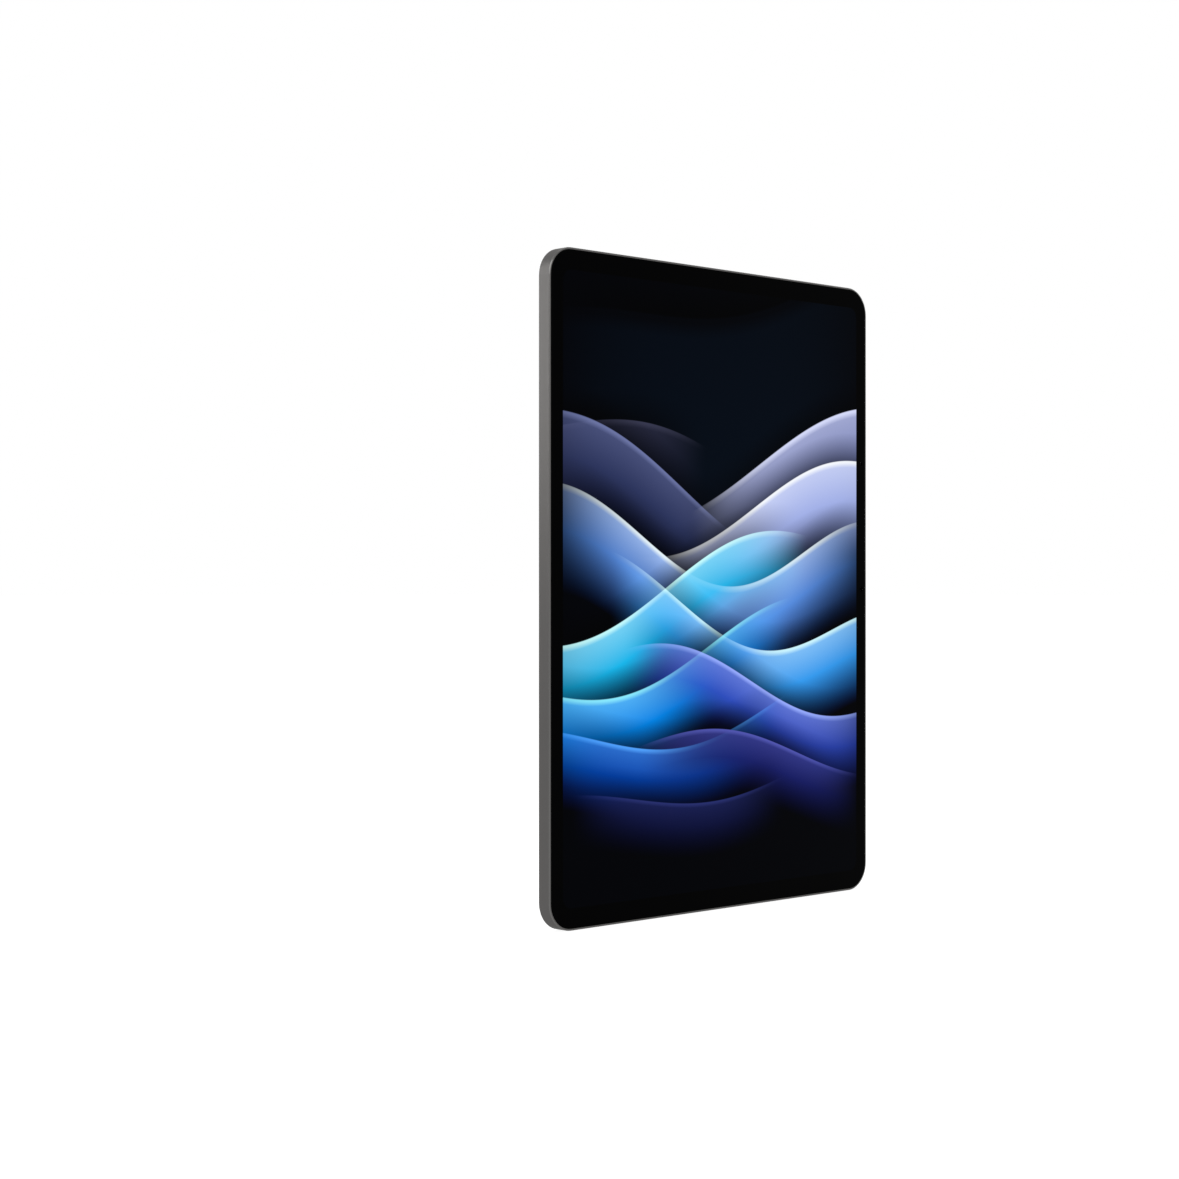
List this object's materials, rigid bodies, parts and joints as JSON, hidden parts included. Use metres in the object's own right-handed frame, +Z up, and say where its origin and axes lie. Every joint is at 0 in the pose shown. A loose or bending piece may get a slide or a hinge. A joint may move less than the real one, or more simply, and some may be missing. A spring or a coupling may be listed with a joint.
{
  "type": "tablet computer",
  "caption": "Slim tablet computer with a one-piece metal back, round raised camera island, flat edges, rocking volume key, sliding power key and edge-to-edge cover glass.",
  "frame": {"origin": "middle of the bottom short edge, half way through the body's thickness", "axes": "+Z up the long side, from the USB-C edge to the edge with the power key; +Y out of the back; the display faces -Y; +X to the right seen from the front, towards the edge with the volume key"},
  "size_m": [0.1924, 0.0082, 0.2668],
  "materials": {
    "anodised_aluminium": "fine bead-blasted and anodised, satin, warm grey",
    "ring_aluminium": "polished edge, anodised warm grey",
    "plate_aluminium": "fine satin, a shade lighter than the housing",
    "cover_glass": "gloss, black border printed behind it",
    "lens_black": "gloss black",
    "window_glass": "coated, gloss",
    "flash_glass": "clear, gloss",
    "inlay_plastic": "satin dark grey",
    "foam_black": "matt black foam",
    "lcd_glass": "gloss",
    "light_guide": "white film",
    "tray_metal": "bright rolled sheet",
    "steel": "bright",
    "board_green": "solder mask",
    "chip_black": "matt moulded",
    "film_amber": "flexible circuit",
    "cell_foil": "dark wrapped pouch",
    "tape_white": "matt adhesive",
    "gold_plate": "gold plated",
    "magnet_nickel": "nickel plated",
    "module_black": "matt black",
    "graphite": "sheen",
    "coil_copper": "enamelled copper"
  },
  "bodies": {
    "tablet": {"rear_housing": "anodised_aluminium", "cover_glass": "cover_glass", "glass_gasket": "foam_black", "lcd_panel": "lcd_glass", "backlight_unit": "light_guide", "display_tray": "tray_metal", "display_films": "film_amber", "display_driver_board": "board_green", "display_cable": "film_amber", "rear_camera_ring": "ring_aluminium", "rear_camera_plate": "plate_aluminium", "camera_lens_bezel": "lens_black", "camera_window": "window_glass", "rear_camera_housing": "module_black", "image_sensor_board": "board_green", "camera_cable": "film_amber", "flash_bezel": "lens_black", "flash_window": "flash_glass", "flash_led": "light_guide", "flash_board": "board_green", "front_camera_module": "module_black", "front_camera_lens": "window_glass", "light_sensor": "module_black", "volume_snap_domes": "steel", "volume_film": "film_amber", "volume_bracket": "steel", "power_snap_dome": "steel", "power_film": "film_amber", "power_bracket": "steel", "usb_shell": "steel", "usb_tongue": "module_black", "usb_bracket": "steel", "usb_board": "board_green", "speakers": "module_black", "speaker_meshes": "steel", "speaker_gaskets": "foam_black", "main_board": "board_green", "shield_cans": "steel", "chips": "chip_black", "graphite_sheet": "graphite", "hall_sensor": "chip_black", "board_screws": "steel", "battery_cell_right": "cell_foil", "battery_cell_left": "cell_foil", "battery_tapes": "tape_white", "battery_board": "board_green", "link_cable": "film_amber", "stylus_window": "inlay_plastic", "charging_coil": "coil_copper", "stylus_magnets": "magnet_nickel", "keyboard_contacts": "gold_plate", "contact_base": "inlay_plastic", "keyboard_magnets": "magnet_nickel", "microphones": "module_black", "mic_gaskets": "foam_black", "aerials": "film_amber"},
    "volume_key": {"volume_rocker": "anodised_aluminium"},
    "power_key": {"power_button": "anodised_aluminium"},
    "lens_carriage": {"rear_lens_barrel": "module_black"}
  },
  "joints": [
    {"name": "volume_rock", "type": "hinge", "parent": "tablet", "child": "volume_key", "pos_m": [0.09256, 0.0002, 0.23545], "axis": [0, 1, 0], "range_deg": [-1.6, 1.6], "stiffness_Nm_per_rad": 0.5, "deforming": ["volume_snap_domes"]},
    {"name": "power_press", "type": "slide", "parent": "tablet", "child": "power_key", "axis": [0, 0, -1], "range_m": [0, 0.00025], "stiffness_N_per_m": 6000, "deforming": ["power_snap_dome"]},
    {"name": "autofocus_travel", "type": "slide", "parent": "tablet", "child": "lens_carriage", "axis": [0, 1, 0], "range_m": [0, 0.0003], "stiffness_N_per_m": 400}
  ]
}
